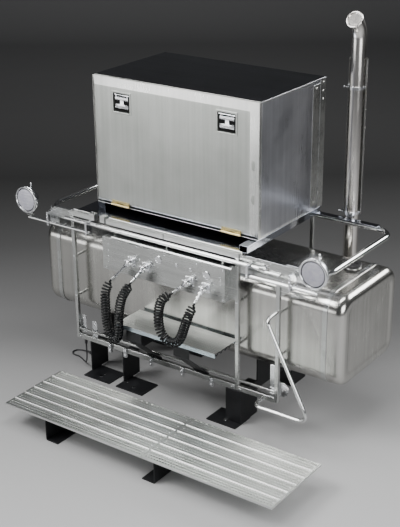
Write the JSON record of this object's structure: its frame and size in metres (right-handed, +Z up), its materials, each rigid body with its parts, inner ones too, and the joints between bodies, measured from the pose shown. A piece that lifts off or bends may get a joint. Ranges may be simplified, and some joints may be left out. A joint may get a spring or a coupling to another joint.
{
  "type": "truck cross tank with locker tower",
  "caption": "Rounded cross tank on folded supports, carrying a drop-door locker, work lamps, coiled trailer hoses, a stack with heat shield and a step walkway.",
  "frame": {"origin": "centre of the square chassis bolt pattern, on the underside of the supports' feet", "axes": "+X along the tank, across the chassis; +Y away from the locker's door, to the cab; +Z up"},
  "size_m": [2.625, 1.917, 2.5634],
  "materials": {
    "satin_sheet": "satin",
    "polished_tank": "polished",
    "stainless": "brushed",
    "polished_tube": "polished",
    "dark_paint": "satin",
    "black_rubber": "matte",
    "black_plastic": "gloss",
    "white_metal": "gloss",
    "brass": "satin",
    "lens_glass": "clear",
    "tread_sheet": "satin"
  },
  "bodies": {
    "frame": {"tank_shell": "polished_tank", "tank_end_left": "polished_tank", "tank_end_right": "polished_tank", "tank_bands": "polished_tank", "tank_baffles": "satin_sheet", "filler_neck": "stainless", "level_sender": "brass", "drain_plug": "brass", "supports": "dark_paint", "saddle_pads": "black_rubber", "front_posts": "stainless", "bottom_rails": "stainless", "rail_lugs": "stainless", "post_standoffs": "stainless", "end_plate_left": "stainless", "end_plate_right": "stainless", "post_bracket": "white_metal", "front_tubes": "polished_tube", "front_channel": "satin_sheet", "rod_clamps": "stainless", "lamp_rods": "polished_tube", "deck_plate": "satin_sheet", "deck_bearers": "satin_sheet", "hoop_left": "polished_tube", "hoop_right": "polished_tube", "hoop_rear": "polished_tube", "rear_posts": "stainless", "coupling_panel": "satin_sheet", "couplings": "white_metal", "hose_ferrules": "stainless", "hose_coil_left": "black_rubber", "hose_coil_right": "black_rubber", "step_tray": "stainless", "tray_bracket": "stainless", "stirrup_step": "polished_tube", "locker_body": "satin_sheet", "hinge_leaves": "brass", "hinge_pins": "brass", "door_seal": "black_rubber", "latch_strikers": "stainless", "exhaust_stack": "polished_tube", "heat_shield": "satin_sheet", "stack_clamps": "polished_tube", "lead_gland": "black_plastic", "lead_cable": "black_rubber", "lead_plug": "black_plastic"},
    "locker_door": {"locker_door": "satin_sheet", "latch_cups": "stainless"},
    "latch_left": {"latch_paddle_left": "stainless"},
    "latch_right": {"latch_paddle_right": "stainless"},
    "lamp_swivel_left": {"lamp_foot_left": "dark_paint"},
    "lamp_swivel_right": {"lamp_foot_right": "dark_paint"},
    "lamp_head_left": {"lamp_left": "polished_tube", "lamp_lens_left": "lens_glass"},
    "lamp_head_right": {"lamp_right": "polished_tube", "lamp_lens_right": "lens_glass"},
    "filler_lid": {"filler_cap": "polished_tube"},
    "walkway": {"walkway_plank_left": "tread_sheet", "walkway_plank_right": "tread_sheet", "walkway_brackets": "dark_paint"}
  },
  "joints": [
    {"name": "door_hinge", "type": "hinge", "parent": "frame", "child": "locker_door", "pos_m": [-0.11, -0.212, 1.249], "axis": [1, 0, 0], "range_deg": [0, 90]},
    {"name": "latch_left_pull", "type": "hinge", "parent": "locker_door", "child": "latch_left", "pos_m": [-0.523, -0.2, 2.01], "axis": [-1, 0, 0], "range_deg": [0, 35], "stiffness_Nm_per_rad": 0.3, "springref_deg": -11.46},
    {"name": "latch_right_pull", "type": "hinge", "parent": "locker_door", "child": "latch_right", "pos_m": [0.303, -0.2, 2.01], "axis": [-1, 0, 0], "range_deg": [0, 35], "stiffness_Nm_per_rad": 0.3, "springref_deg": -11.46},
    {"name": "lamp_left_pan", "type": "hinge", "parent": "frame", "child": "lamp_swivel_left", "pos_m": [-1.21, -0.405, 1.11], "axis": [0, 0, 1], "range_deg": [-60, 60]},
    {"name": "lamp_left_tilt", "type": "hinge", "parent": "lamp_swivel_left", "child": "lamp_head_left", "pos_m": [-1.21, -0.405, 1.126], "axis": [1, 0, 0], "range_deg": [-15, 30]},
    {"name": "lamp_right_pan", "type": "hinge", "parent": "frame", "child": "lamp_swivel_right", "pos_m": [1.075, -0.405, 1.11], "axis": [0, 0, 1], "range_deg": [-30, 60]},
    {"name": "lamp_right_tilt", "type": "hinge", "parent": "lamp_swivel_right", "child": "lamp_head_right", "pos_m": [1.075, -0.405, 1.126], "axis": [1, 0, 0], "range_deg": [-15, 30]},
    {"name": "filler_cap_turn", "type": "hinge", "parent": "frame", "child": "filler_lid", "pos_m": [0.985, 0.215, 1.04], "axis": [0, 0, 1], "range_deg": [0, 90]},
    {"name": "walkway_lift", "type": "slide", "parent": "frame", "child": "walkway", "axis": [0, 0, 1], "range_m": [0, 0.25]}
  ]
}
